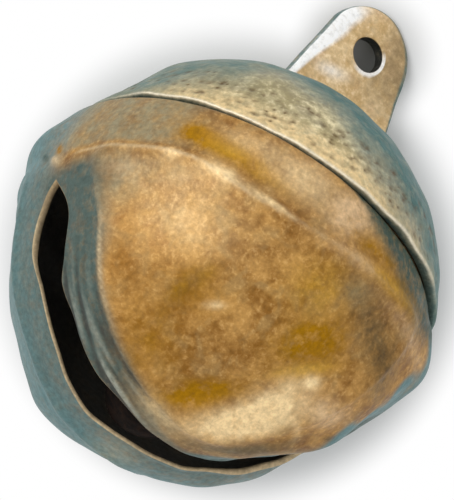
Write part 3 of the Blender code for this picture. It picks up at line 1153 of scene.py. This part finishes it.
@dataclass
class Crown(Cup):
    """Upper cup: a dome with a rolled rim, slit at the top for the tab's tongue.

    Attributes:
        rim: latitude of the rim's lower edge round the body.
        proud: how far the rim stands out.
        shift: how far the crown sits to the right of the lower cup.
        slit: half length and half width of the slit for the tongue, and its place along X.
        dents: knocks and bulges.
        ripple: waviness of the wall.
        waver: how the blue-green's edge wanders, in degrees.
        rubbed: places where the blue-green is rubbed through.
        pits: corrosion pits.
        pit_depth: depth of the deepest pit.
        blue_green_line: latitude above which blue-green has taken over, round the body: patina, and near the
            outline also a painted reflection of dark surroundings.
        bloom: strength of that blue-green.
        film: strength of the grey film below it.
        olive: strength of the grey-green.
        belt: strength of the gold above the rim.
        rim_line: width of the line rubbed pale along the rim.
        rim_rub: how bright that line is.
        rows: rows of points on the outside and the inside.
    """

    rim: Table = ((-180, 15.2), (-90, 15.4), (-60, 15.4), (-30, 14.4), (0, 14.6), (20, 15.4), (40, 16.0),
                  (60, 15.2), (180, 15.2))
    proud: float = 0.12
    shift: float = 0.3
    slit: tuple[float, float, float] = (4.3, 1.05, 1.6)
    dents: tuple[Spot, ...] = (Spot(-98, 28, 6.0, 4.0, -0.7), Spot(60, 35, 6.0, 5.0, 0.2))
    ripple: Ripple = Ripple(5.0, 0.05, 11)
    waver: Ripple = Ripple(6.0, 2.0, 53)
    rubbed: tuple[Spot, ...] = spots(
        (150, 38, 6.5, 3.6, 0.55, 25), (-150, 27, 7.0, 3.0, 0.5, -12), (112, 26, 5.0, 2.6, 0.5, 10),
        (175, 55, 4.5, 3.0, 0.4, 0), (40, 62, 4.0, 2.4, 0.35, 20),
    )
    pits: Pits = Pits(560, 15.5, 31.0, 0.25, 5)
    pit_depth: float = 0.1
    blue_green_line: Table = (
        (-110, 6), (-88, 8), (-78, 11), (-72, 16), (-66, 22), (-61, 28), (-56, 32), (-50, 37), (-43, 42),
        (-34, 43), (-25, 41), (-11, 36), (8, 25), (25, 17), (36, 11), (44, 3), (90, 3), (180, 18),
    )
    bloom: Table = ((-75, 0.6), (-50, 0.75), (-20, 1.0))
    film: Table = ((-80, 0.45), (-55, 0.5), (-35, 0.7))
    olive: Table = ((-110, 0.9), (-70, 0.9), (-50, 0.4), (-15, 0.0), (30, 0.2))
    belt: Table = ((-90, 0.0), (-75, 0.3), (-55, 0.7), (-20, 0.95), (20, 0.8), (50, 0.3))
    rim_line: Table = ((-90, 0.12), (-50, 0.15), (-15, 0.2), (40, 0.22))
    rim_rub: Table = ((-120, 0.1), (-86, 0.3), (-70, 0.85), (20, 0.9), (36, 0.6), (48, 0.1))
    rows: tuple[int, int] = (84, 26)

    def slit_edge(self, turn: Array) -> Array:
        """Draw the slit for the tongue as a squared oval: x and y are cube-rooted sine and cosine.

        Args:
            turn: stations' angles in radians.

        Returns:
            Unit vectors to its edge.
        """
        long, wide, aside = self.slit
        x = aside + long * np.sign(np.sin(turn)) * np.abs(np.sin(turn)) ** (1 / 3)
        y = -wide * np.sign(np.cos(turn)) * np.abs(np.cos(turn)) ** (1 / 3)
        z = np.sqrt(self.radius**2 - x**2 - y**2)
        return np.stack([x, y, z], axis=-1) / self.radius

    def over_rim(self, at: Bearing) -> Array:
        """Return millimetres above the rim's edge."""
        return np.radians(at.latitude - through(self.rim, at.turn)) * self.radius

    def rolled(self, at: Bearing) -> Array:
        """Return how far the rolled rim stands out, which eases off above it."""
        return self.proud * (1 - ease((self.over_rim(at) - 0.5) / 2.0))

    def reach(self, at: Bearing) -> Array:
        """Work out the outer radius: the sphere, the proud rim, dents, waviness and pits.

        Args:
            at: points of the crown.

        Returns:
            Radius in millimetres.
        """
        out = self.radius + self.rolled(at)
        out += heap(self.dents, at, self.radius) + self.shift * at.way[..., 0]
        out += self.ripple.over(at.way * self.radius)
        return out - self.pit_depth * self.pits.over(at.way, self.radius)

    def outer_traits(self, at: Bearing) -> Traits:
        """Lay out the stains of the outside.

        Args:
            at: points of the outside.

        Returns:
            Masks from 0 to 1.
        """
        turn, above = at.turn, self.over_rim(at)
        back = ease((at.way[..., 1] - 0.05) / 0.3)
        up = at.latitude - through(self.blue_green_line, turn) + self.waver.over(at.way * self.radius)
        # Blue-green above the line is patina, and near the outline also a painted reflection of dark
        # surroundings.
        green = np.maximum(ease((up + 5) / 18) * through(self.bloom, turn), 0.7 * back)
        pale = np.exp(-((above / through(self.rim_line, turn)) ** 2))
        return {
            "olive": through(self.olive, turn),
            "gold": ease(1 - (above - 0.6) / 4.0) * through(self.belt, turn),
            "patina": through(self.film, turn) * ease((up + 14) / 16),
            "verdigris_and_reflection": green * (1 - heap(self.rubbed, at, self.radius)),
            "pit": self.pits.over(at.way, self.radius) * ease((above - 0.5) / 0.6),
            "edge": 0.95 * pale * through(self.rim_rub, turn),
            "painted_shade": np.zeros_like(turn),
            "inside": np.zeros_like(turn),
        }

    def build(self) -> Object:
        """Make the crown: rows run up the outside to the slit, down the inside and across the rim.

        Returns:
            The crown.
        """
        turn = self.turns()
        foot = direction(turn, np.radians(through(self.rim, np.degrees(turn))))
        top = self.slit_edge(turn)
        up = swing(foot, top, dense_ends(self.rows[0]))
        down = swing(foot, top, dense_ends(self.rows[1])[::-1])
        outside, inside = Bearing(up), Bearing(down)
        outer = self.place(up, self.reach(outside))
        depth = self.wall + self.rolled(inside)
        inner = self.place(down, np.minimum(self.reach(inside) - depth, self.radius - self.wall))
        under = round_edge(inner[-1], outer[0], np.array([0.0, 0.0, -self.proud * MM]), 5)

        traits = self.outer_traits(outside)
        fade = np.linspace(0.0, 1.0, len(under)) ** 3
        masks: Traits = {}
        for name, mask in traits.items():
            lining = np.full(inner.shape[:2], 1.0 if name == "inside" else 0.0)
            face = np.tile(mask[0], (len(under), 1))
            if name == "edge":
                face *= fade[:, None]
            elif name == "painted_shade":
                # Painted shade: the rim's underside darkens towards its inner edge.
                face += 0.95 * (1 - fade)[:, None]
            masks[name] = np.concatenate([mask, lining, face])
        return skin("crown_shell", np.concatenate([outer, inner, under]), masks)


@dataclass
class HangingTab:
    """Plate with the hanging hole, its tongue through the crown and two ears clinched over inside.

    Its outline is read as a distance from the hole's centre at each angle round it.

    Attributes:
        top_radius: radius of the round top, about the hole.
        taper: degrees that each side leans out.
        thickness: thickness of the plate.
        hole: radius of the hole.
        chamfer: how far the hole's mouth is worn open.
        tongue: half width of the tongue.
        tongue_end: height of the tongue's end, from the hole.
        feet: the two corners on the crown, from the hole.
        seat: radius of the seat on the crown, and the body's centre from the hole.
        ear: length, thickness, width and top of an ear.
        bevel: width of the front's worn edge, by degrees round the hole.
        rear_bevel: width and depth of the rear's edge.
        worn: how white the front's worn edge is painted, as a highlight, by degrees round the hole.
        outline_band: width of the blue-grey line along the outline: patina, and also a painted reflection of
            dark surroundings.
        outline_band_strength: strength of that line.
        smear: middle, half length, half width and slope of the pale smear on the front.
        ripple: waviness of the faces.
        stations: stations round the hole.
    """

    top_radius: float = 5.2
    taper: float = 11.3
    thickness: float = 1.5
    hole: float = 1.8
    chamfer: float = 0.35
    tongue: float = 4.0
    tongue_end: float = -12.39
    feet: tuple[tuple[float, float], tuple[float, float]] = ((-7.08, -9.38), (7.31, -10.56))
    seat: tuple[float, float, float] = (22.3, -1.6, -31.0)
    ear: tuple[float, float, float, float] = (3.0, 1.0, 3.3, -11.09)
    bevel: Table = ((0, 0.8), (60, 0.7), (110, 0.8), (140, 1.7), (200, 2.0), (232, 1.6), (245, 0.4),
                    (290, 0.5), (360, 0.8))
    rear_bevel: tuple[float, float] = (0.3, 0.25)
    worn: Table = ((0, 0.0), (110, 0.05), (128, 0.5), (145, 1.0), (225, 1.0), (238, 0.8), (248, 0.2),
                   (360, 0.0))
    outline_band: Table = ((0, 0.7), (90, 0.3), (120, 0.12), (240, 0.12), (280, 0.5), (360, 0.7))
    outline_band_strength: Table = ((0, 0.9), (70, 0.6), (110, 0.8), (230, 0.9), (300, 0.9), (360, 0.9))
    smear: tuple[float, float, float, float, float] = (-2.7, -4.5, 1.7, 0.75, 0.3)
    ripple: Ripple = Ripple(4.0, 0.04, 23)
    stations: int = 260

    def outline(self, angle: Array) -> Array:
        """Trace the plate: round top, leaning sides, seat on the crown and tongue, smoothed a little.

        Args:
            angle: angles round the hole in radians, from +X towards +Z.

        Returns:
            Distance of the outline from the hole's centre.
        """
        lean = math.radians(self.taper)
        arc = np.linspace(lean, np.pi - lean, 60)
        crest = np.stack([np.cos(arc), np.sin(arc)], axis=-1) * self.top_radius
        seat, middle_x, middle_z = self.seat
        (left, left_z), (right, right_z) = self.feet
        share = np.linspace(0, 1, 40)[:, None]
        left_side = crest[-1] + (np.array([left, left_z]) - crest[-1]) * share
        right_side = np.array([right, right_z]) + (crest[0] - np.array([right, right_z])) * share
        rest = [np.linspace(left, -self.tongue, 20), np.linspace(self.tongue, right, 20)]
        seats = [np.stack([x, middle_z + np.sqrt(seat**2 - (x - middle_x) ** 2)], -1) for x in rest]
        x = np.linspace(-self.tongue, self.tongue, 40)
        end = np.stack([x, np.full_like(x, self.tongue_end)], axis=-1)
        trace = np.concatenate([crest, left_side, seats[0], end, seats[1], right_side])
        around = np.unwrap(np.arctan2(trace[:, 1], trace[:, 0]))
        return np.interp(angle, around, np.linalg.norm(trace, axis=1), period=2 * np.pi)

    def traits(self, x: Array, z: Array, zone: Array, from_edge: Array, bevel: Array) -> Traits:
        """Lay out the plate's stains.

        Args:
            x: places along X from the hole.
            z: places along Z from the hole.
            zone: strip of the section that each point is in.
            from_edge: distance inside the outline.
            bevel: width of the worn edge.

        Returns:
            Masks from 0 to 1.
        """
        degrees = np.degrees(np.arctan2(z, x)) % 360
        front = zone <= Zone.EDGE
        # Painted highlight: the worn bevel on the front is coloured near white on its left side.
        pale = through(self.worn, degrees) * ease((bevel + 0.4 - from_edge) / 1.0) * front
        # The blue-grey along the outline, widest on the right, is patina and also a painted reflection of
        # dark surroundings.
        wide = through(self.outline_band, degrees)
        rim = ease((wide - from_edge) / (0.6 * wide)) * (zone >= Zone.EDGE) * (zone <= Zone.REAR_EDGE)
        middle_x, middle_z, long, narrow, slope = self.smear
        aside = z - middle_z - slope * (x - middle_x)
        smear = np.exp(-(((x - middle_x) / long) ** 2) - (aside / narrow) ** 2) * (zone == Zone.FACE)
        # Painted highlight: the hole's rounded mouth is paled on its right and lower side, where it faces
        # the lamp.
        lit = ease(np.cos(np.radians(degrees + 35)) * 1.5) * (zone == Zone.HOLE)
        return {
            "mustard": ease((x + 1.0) / 4.0) * ease((z + 6) / 5) * 0.8,
            "edge": np.maximum(pale, 0.5 * smear) + 0.8 * lit,
            "patina": np.maximum(rim * through(self.outline_band_strength, degrees), (zone >= Zone.REAR) * 0.6),
            # Painted shade: the hole's wall is coloured near black.
            "inside": ease((self.hole + 0.1 - np.hypot(x, z)) / 0.06),
        }

    def build(self) -> tuple[Object, ...]:
        """Make the plate and its two ears.

        The plate's section goes from the hole's wall out over the front face, round the worn edge and
        back over the rear face.

        Returns:
            The plate, the front ear and the back ear.
        """
        angle = np.linspace(0, 2 * np.pi, self.stations, endpoint=False)
        far = self.outline(angle)[None, :]
        bevel = through(self.bevel, np.degrees(angle))[None, :]
        half, chamfer, mouth = self.thickness / 2, self.chamfer, self.hole + self.chamfer
        quarter = np.linspace(0, np.pi / 2, 9)[:, None]
        c, s = np.cos(quarter), np.sin(quarter)
        span = np.linspace(0, 1, 26)[1:, None]
        fall = np.linspace(0, 1, 6)[1:, None]
        drop = np.minimum(0.35 * bevel, 0.55)
        dip = 0.8 * chamfer
        rear, rear_drop = self.rear_bevel
        strips = {
            Zone.HOLE: (self.hole + chamfer * (1 - c), -half + dip * (1 - s)),
            Zone.FACE: (mouth + (far - bevel - mouth) * span, -half),
            Zone.EDGE: (far - bevel + bevel * s[1:], -half + drop * (1 - c[1:])),
            Zone.SIDE: (far, -half + drop + (self.thickness - drop - rear_drop) * fall),
            Zone.REAR_EDGE: (far - rear * (1 - c[1:]), half - rear_drop + rear_drop * s[1:]),
            Zone.REAR: (far - rear - (far - rear - mouth) * span, half),
            Zone.HOLE_BACK: (mouth - chamfer * s[1:], half - dip * (1 - c[1:])),
        }
        rows = [np.broadcast_arrays(out, deep, int(zone), far)[:3] for zone, (out, deep) in strips.items()]
        out, deep, zone = (np.concatenate(part) for part in zip(*rows))
        x, z = out * np.cos(angle), out * np.sin(angle)
        wave = self.ripple.over(np.stack([x, 0 * x, z], axis=-1)) * ease((out - self.hole) / 1.0)
        loops = np.stack([x, deep + wave, z], axis=-1) * MM
        plate = skin("hanging_tab", loops, self.traits(x, z, zone, far - out, bevel))
        return plate, self.build_ear("front_ear", -1), self.build_ear("back_ear", 1)

    def build_ear(self, name: str, side: int) -> Object:
        """Make one ear: a rounded strip bent from under the tongue out along the crown's inside.

        Its section is a squared oval of the ear's thickness and width, carried out along Y.

        Args:
            name: name of the piece.
            side: -1 for the front ear on the left, 1 for the back ear on the right.

        Returns:
            The ear.
        """
        length, thick, wide, top = self.ear
        round_ = np.linspace(0, 2 * np.pi, 48, endpoint=False)[None, :]
        along = np.concatenate([[0.0], dense_ends(14), [1.0]])[:, None]
        taper = np.concatenate([[0.0], np.ones(12), [0.97, 0.85], [0.0]])[:, None]
        c, s = np.cos(round_), np.sin(round_)
        x = side * (0.4 + wide / 2) + taper * wide / 2 * np.sign(c) * np.abs(c) ** 0.4
        z = top - thick / 2 + taper * thick / 2 * np.sign(s) * np.abs(s) ** 0.4
        y = side * length * along + 0 * c
        masks: Traits = {trait: np.zeros(x.shape) for trait in ("mustard", "edge", "patina")}
        # Painted shade: the ears inside the crown are coloured dark.
        masks["inside"] = np.full(x.shape, 0.7)
        return skin(name, np.stack([x, y, z], axis=-1) * MM, masks, poles=True)


@dataclass
class Solder:
    """The two runs of solder: a bead inside the seam and a fillet round the tab's foot.

    Attributes:
        centre: centre of the body in metres.
        radius: outer radius of the body.
        neck: outer radius of the lower cup's neck.
        wall: thickness of the sheet.
        bead_foot: latitude of the bead's foot in degrees.
        leg: leg of the bead and of the fillet.
        feet: ends of the tab's foot along X, from the body's centre.
        half: half the tab's thickness.
        gap: gap between the tab or the crown and the fillet.
        bead_lumps: unevenness of the bead.
        fillet_lumps: unevenness of the fillet.
    """

    centre: Array
    radius: float
    neck: float = 20.9
    wall: float = 0.8
    bead_foot: float = 21.8
    leg: float = 0.9
    feet: tuple[float, float] = (-5.48, 8.91)
    half: float = 0.75
    gap: float = 0.3
    bead_lumps: Ripple = Ripple(6.0, 0.1, 31)
    fillet_lumps: Ripple = Ripple(4.0, 0.12, 37)

    def build_bead(self) -> Object:
        """Make the bead: a hollow-faced triangle carried round the seam, its face lumpy.

        Returns:
            The bead.
        """
        turn = np.linspace(-np.pi, np.pi, 240, endpoint=False)
        lump = 1 + self.bead_lumps.over(direction(turn, 0.0) * self.neck)
        t = np.linspace(0, 1, 9)
        hollow = 0.16 * np.sin(np.pi * t)
        wall = np.linspace(0, 1, 4, endpoint=False)
        deep = self.wall * np.concatenate([0 * wall, t * (1 - hollow)])[:, None] * lump
        high = self.leg * np.concatenate([wall, (1 - t) * (1 - hollow)])[:, None] * lump
        latitude = math.radians(self.bead_foot) + high / self.neck
        way = direction(np.broadcast_to(turn, latitude.shape), latitude)
        return skin("seam_solder", self.centre + way * (self.neck - deep)[..., None] * MM)

    def build_fillet(self) -> Object:
        """Make the fillet: a hollow-faced triangle carried round the tab's foot on the crown.

        Returns:
            The fillet.
        """
        (left, right), half = self.feet, self.half
        corners = ((right, half), (left, half), (left, -half), (right, -half))
        corner = np.linspace(0, np.pi / 2, 8)
        run = np.linspace(0, 1, 34)[1:-1]
        feet, ways = [], []
        for quarter, (x, y) in enumerate(corners):
            angle = corner + quarter * np.pi / 2
            feet.append(np.tile([x, y], (len(corner), 1)))
            ways.append(np.stack([np.cos(angle), np.sin(angle)], axis=-1))
            if quarter % 2 == 0:
                end = left if quarter == 0 else right
                feet.append(np.stack([x + (end - x) * run, np.full_like(run, y)], axis=-1))
                ways.append(np.tile([0.0, math.copysign(1, y)], (len(run), 1)))
        foot, way = np.concatenate(feet), np.concatenate(ways)
        lump = 1 + self.fillet_lumps.over(np.column_stack([foot, np.zeros(len(foot))]))
        t = np.linspace(0, 1, 9)
        hollow = 0.2 * np.sin(np.pi * t)
        under = np.linspace(0.9, 0.1, 5)
        out = self.leg * np.concatenate([t * (1 - hollow), under])[:, None] * lump
        lift = self.leg * np.concatenate([(1 - t) * (1 - hollow), 0 * under])[:, None] * lump
        flat = foot + way * (self.gap + out)[..., None]
        seat = np.sqrt((self.radius + self.gap) ** 2 - np.sum(flat**2, axis=-1))
        loops = np.concatenate([flat, (seat + lift)[..., None]], axis=-1)
        return skin("tab_solder", self.centre + loops * MM)


@dataclass
class Pellet:
    """Loose iron pea on the lips of the slit.

    Attributes:
        middle: its middle in metres.
        radius: middling radius.
        lumps: unevenness of its forged surface.
    """

    middle: Array
    radius: float
    lumps: tuple[Ripple, Ripple] = (Ripple(5.0, 0.05, 41), Ripple(1.8, 0.025, 43))

    def build(self) -> Object:
        """Make the pea: a ball whose radius wavers with two sets of lumps.

        Returns:
            The pellet.
        """
        latitude = np.linspace(-np.pi / 2, np.pi / 2, 49)[:, None]
        turn = np.linspace(-np.pi, np.pi, 96, endpoint=False)[None, :]
        way = direction(turn + 0 * latitude, latitude + 0 * turn)
        reach = self.radius - 0.05 + sum(lump.over(way * self.radius) for lump in self.lumps)
        return skin("pellet", self.middle + way * reach[..., None] * MM, poles=True)


@dataclass
class Studio:
    """White table behind the bell, soft light and the camera.

    Attributes:
        centre: centre of the body in metres.
        radius: outer radius of the body.
        right: the picture's right.
        up: the picture's up.
        distance: camera's distance in metres.
        sensor: width of the camera's sensor.
        span: height of the picture at the bell.
        aim: where the picture's middle lies from the body's centre, along right and up.
        key: direction of the main lamp along right, up and towards the camera, and its distance.
        key_size: diameter of the main lamp in metres.
        key_level: light that the main lamp throws on a wall that faces it.
        ambient: sky's strength below and above.
        tab_tip: the tab's highest point, in metres.
        hole: centre of the tab's hole, in metres.
        table_gap: gap between the sphere and the table.
        table_half: half the table's side in metres.
        shade_aim: middle of the unlit patch under the body, along right and up.
        body_glow: where the glow starts and is full from there, and its least share.
        tab_glow: the same from the spot behind the hole.
        hole_grey: where the painted shade behind the hole ends and the table is pale, and their greys.
    """

    centre: Array
    radius: float
    right: Array = field(default_factory=lambda: np.array([0.6764, -0.5904, 0.4404]))
    up: Array = field(default_factory=lambda: np.array([-0.6381, -0.1711, 0.7507]))
    distance: float = 2.0
    sensor: float = 36.0
    span: float = 50.93
    aim: tuple[float, float] = (0.66, 2.34)
    key: tuple[float, float, float, float] = (-0.4, 0.5, 0.8, 0.35)
    key_size: float = 0.22
    key_level: float = 0.38
    ambient: tuple[float, float] = (0.56, 0.66)
    tab_tip: Array = field(default_factory=lambda: np.array([0.0, 0.00075, 0.0051]))
    hole: Array = field(default_factory=lambda: np.zeros(3))
    table_gap: float = 0.6
    table_half: float = 0.6
    shade_aim: tuple[float, float] = (1.0, 0.6)
    body_glow: tuple[float, float, float] = (20.8, 26.3, 0.1)
    tab_glow: tuple[float, float, float] = (4.0, 8.5, 0.0)
    hole_grey: tuple[float, float, float, float] = (2.6, 4.6, 0.22, 0.85)

    @property
    def towards(self) -> Array:
        """Direction from the bell to the camera."""
        return np.cross(self.right, self.up)

    @property
    def key_way(self) -> Array:
        """Direction from the bell to the main lamp."""
        along = self.key[0] * self.right + self.key[1] * self.up + self.key[2] * self.towards
        return along / np.linalg.norm(along)

    def place_camera(self) -> None:
        """Stand the camera at the photograph's angle, with a long lens."""
        lens = bpy.data.cameras.new("camera")
        lens.sensor_width = self.sensor
        lens.lens = self.sensor * self.distance / (self.span * MM)
        lens.clip_start = 0.01
        camera = bpy.data.objects.new("camera", lens)
        target = self.centre + (self.aim[0] * self.right + self.aim[1] * self.up) * MM
        turned = Matrix(np.column_stack([self.right, self.up, self.towards]).tolist()).to_4x4()
        camera.matrix_world = Matrix.Translation(target + self.towards * self.distance) @ turned
        bpy.context.scene.collection.objects.link(camera)
        bpy.context.scene.camera = camera

    def hang_lamps(self) -> None:
        """Hang one broad lamp up and to the left, in front of the bell."""
        lamp = bpy.data.lights.new("key", "AREA")
        lamp.shape = "DISK"
        lamp.size = self.key_size
        lamp.energy = self.key_level * math.pi**2 * self.key[3] ** 2
        held = bpy.data.objects.new("key", lamp)
        held.location = self.centre + self.key_way * self.key[3]
        held.rotation_euler = Vector(self.key_way).to_track_quat("Z", "Y").to_euler()
        bpy.context.scene.collection.objects.link(held)

    def paint_sky(self) -> None:
        """Make the sky white to the camera and to metal, and a soft gradient of light otherwise."""
        world = bpy.data.worlds.new("studio")
        world.use_nodes = True
        tree = world.node_tree
        facing = add(
            tree,
            "ShaderNodeVectorMath",
            {0: add(tree, "ShaderNodeTexCoord").outputs["Generated"], 1: tuple(self.key_way)},
            operation="DOT_PRODUCT",
        ).outputs["Value"]
        soft = add(
            tree,
            "ShaderNodeMapRange",
            {"Value": facing, "From Min": -1.0, "From Max": 1.0,
             "To Min": self.ambient[0], "To Max": self.ambient[1]},
        ).outputs[0]
        levels = {0: seen_share(tree), 2: soft, 3: 1.0}
        strength = add(tree, "ShaderNodeMix", levels, data_type="FLOAT").outputs[0]
        feed(tree, tree.nodes["Background"], {"Color": (1.0, 1.0, 1.0, 1.0), "Strength": strength})
        bpy.context.scene.world = world

    def lay_table(self) -> None:
        """Lay the white table so that it touches the bell's back and the tip of the tab.

        It shows from its front to the camera and in metal, and lets all other light through. It glows
        white except close to the bell and under the tab, where only the lamps light it. Behind the
        hole it is grey, because the photo shows a dark spot there.
        """
        tip = self.tab_tip - self.centre
        lean = tip - np.dot(tip, self.towards) * self.towards
        reach = np.linalg.norm(lean)
        lean /= reach
        angle = math.atan2(np.dot(tip, self.towards), reach) + math.asin(
            (self.radius + self.table_gap) * MM / np.linalg.norm(tip)
        )
        normal = math.cos(angle) * self.towards - math.sin(angle) * lean
        across = np.cross(normal, lean)
        across /= np.linalg.norm(across)
        along = np.cross(normal, across)
        middle = self.centre - normal * (self.radius + self.table_gap) * MM
        shaded = self.centre + (self.shade_aim[0] * self.right + self.shade_aim[1] * self.up) * MM
        under_body, under_tab = (
            spot + self.towards * np.dot(middle - spot, normal) / np.dot(self.towards, normal)
            for spot in (shaded, self.hole)
        )

        made, place = start_material("White table")
        tree = made.node_tree
        tree.nodes.remove(tree.nodes["Principled BSDF"])
        behind = add(tree, "ShaderNodeNewGeometry").outputs["Backfacing"]
        front = add(tree, "ShaderNodeMath", {0: 1.0, 1: behind}, operation="SUBTRACT").outputs[0]
        shown = add(tree, "ShaderNodeMath", {0: seen_share(tree), 1: front}, operation="MULTIPLY").outputs[0]
        share: float | NodeSocket = 1.0
        for spot, (near, far, dim) in ((under_body, self.body_glow), (under_tab, self.tab_glow)):
            gap = add(
                tree, "ShaderNodeVectorMath", {0: place, 1: tuple(spot)}, operation="DISTANCE"
            ).outputs["Value"]
            glow = add(
                tree,
                "ShaderNodeMapRange",
                {"Value": gap, "From Min": near * MM, "From Max": far * MM, "To Min": dim},
                interpolation_type="SMOOTHSTEP",
            ).outputs[0]
            share = add(tree, "ShaderNodeMath", {0: glow, 1: share}, operation="MULTIPLY").outputs[0]
        near, far, dark, pale = self.hole_grey
        # Painted shade: behind the tab's hole the table's colour is dark grey.
        deep = add(
            tree,
            "ShaderNodeMapRange",
            {"Value": gap, "From Min": near * MM, "From Max": far * MM, "To Min": dark, "To Max": pale},
            interpolation_type="SMOOTHSTEP",
        ).outputs[0]
        matt = add(tree, "ShaderNodeBsdfDiffuse", {"Color": deep}).outputs[0]
        light = add(tree, "ShaderNodeEmission", {"Color": (1.0, 1.0, 1.0, 1.0), "Strength": 1.0}).outputs[0]
        white = add(tree, "ShaderNodeMixShader", {0: share, 1: matt, 2: light}).outputs[0]
        clear = add(tree, "ShaderNodeBsdfTransparent").outputs[0]
        surface = add(tree, "ShaderNodeMixShader", {0: shown, 1: clear, 2: white}).outputs[0]
        feed(tree, tree.nodes["Material Output"], {"Surface": surface})
        across, along = across * self.table_half, along * self.table_half
        corners = [middle + a * across + b * along for a, b in ((-1, -1), (1, -1), (1, 1), (-1, 1))]
        mesh = bpy.data.meshes.new("white_table")
        mesh.from_pydata([tuple(c) for c in corners], [], [(0, 1, 2, 3)])
        mesh.materials.append(made)
        table = bpy.data.objects.new("white_table", mesh)
        bpy.context.scene.collection.objects.link(table)


def main() -> None:
    """Build every piece and the studio."""
    logging.basicConfig(level=logging.INFO, format="%(name)s %(message)s")
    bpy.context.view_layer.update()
    low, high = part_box("mouth_shell")
    centre = np.array(frame["joints"][0]["pos_m"], float)
    radius = (high.x - low.x) / 2 / MM
    pea_low, pea_high = (np.array(corner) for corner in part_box("pellet"))

    dress(Mouth(centre, radius).build(), MOUTH_BRONZE.material(), Body.BELL, Slot.MOUTH, "mouth_shell")
    dress(Crown(centre, radius).build(), CROWN_BRONZE.material(), Body.BELL, Slot.CROWN, "crown_shell")
    plate, *ears = HangingTab().build()
    tab_finish = TAB_BRONZE.material()
    dress(plate, tab_finish, Body.BELL, Slot.TAB, "hanging_tab")
    for ear in ears:
        dress(ear, tab_finish, Body.BELL, Slot.TAB)
    solder, solder_finish = Solder(centre, radius), DULL_SOLDER.material()
    dress(solder.build_bead(), solder_finish, Body.BELL, Slot.SOLDER, "seam_solder")
    dress(solder.build_fillet(), solder_finish, Body.BELL, Slot.SOLDER, "tab_solder")
    pea = Pellet((pea_low + pea_high) / 2, (pea_high[2] - pea_low[2]) / 2 / MM)
    dress(pea.build(), RUSTY_IRON_IN_PAINTED_SHADE.material(), Body.PELLET, Slot.IRON, "pellet")

    studio = Studio(centre, radius)
    studio.place_camera()
    studio.hang_lamps()
    studio.paint_sky()
    studio.lay_table()
    bpy.context.scene.view_settings.view_transform = "Standard"


if __name__ == "__main__":
    main()
